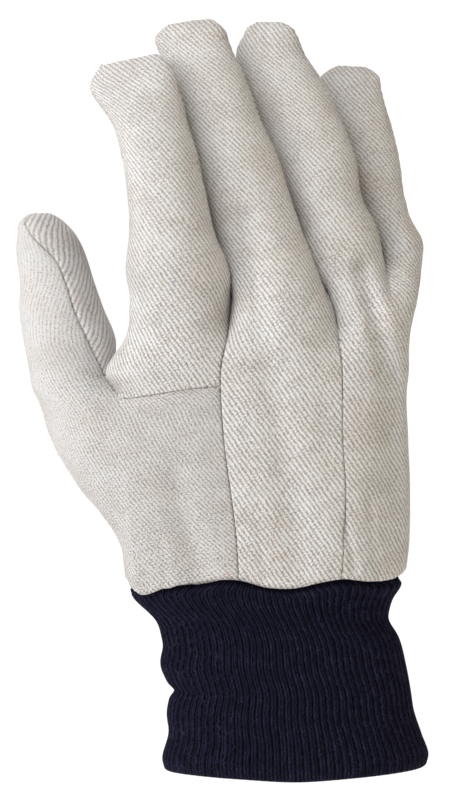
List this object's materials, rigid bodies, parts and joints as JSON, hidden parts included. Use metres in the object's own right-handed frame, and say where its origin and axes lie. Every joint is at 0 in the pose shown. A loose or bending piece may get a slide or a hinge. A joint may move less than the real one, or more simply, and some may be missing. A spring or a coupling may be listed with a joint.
{
  "type": "cotton work glove",
  "caption": "Right-hand work glove of cream cotton drill with a seamed back, a plain palm and a ribbed navy knitted wrist, in worn shape.",
  "frame": {"origin": "the middle of the wrist opening, where the hand goes in", "axes": "+Z from the wrist to the fingertips, +X to the little finger's side, +Y from the back of the hand to the palm"},
  "size_m": [0.1412, 0.0723, 0.2582],
  "materials": {
    "palm_cotton": "coarse unbleached cotton drill with a diagonal rib",
    "thumb_back_cotton": "coarse unbleached cotton drill with a diagonal rib",
    "index_back_cotton": "coarse unbleached cotton drill with a diagonal rib",
    "middle_back_cotton": "coarse unbleached cotton drill with a diagonal rib",
    "outer_back_cotton": "coarse unbleached cotton drill with a diagonal rib",
    "wrist_knit": "navy rib knit, matt"
  },
  "bodies": {
    "root": {"palm_panel": "palm_cotton", "thumb_back": "thumb_back_cotton", "index_back": "index_back_cotton", "middle_back": "middle_back_cotton", "outer_back": "outer_back_cotton", "knit_cuff": "wrist_knit"}
  },
  "joints": []
}
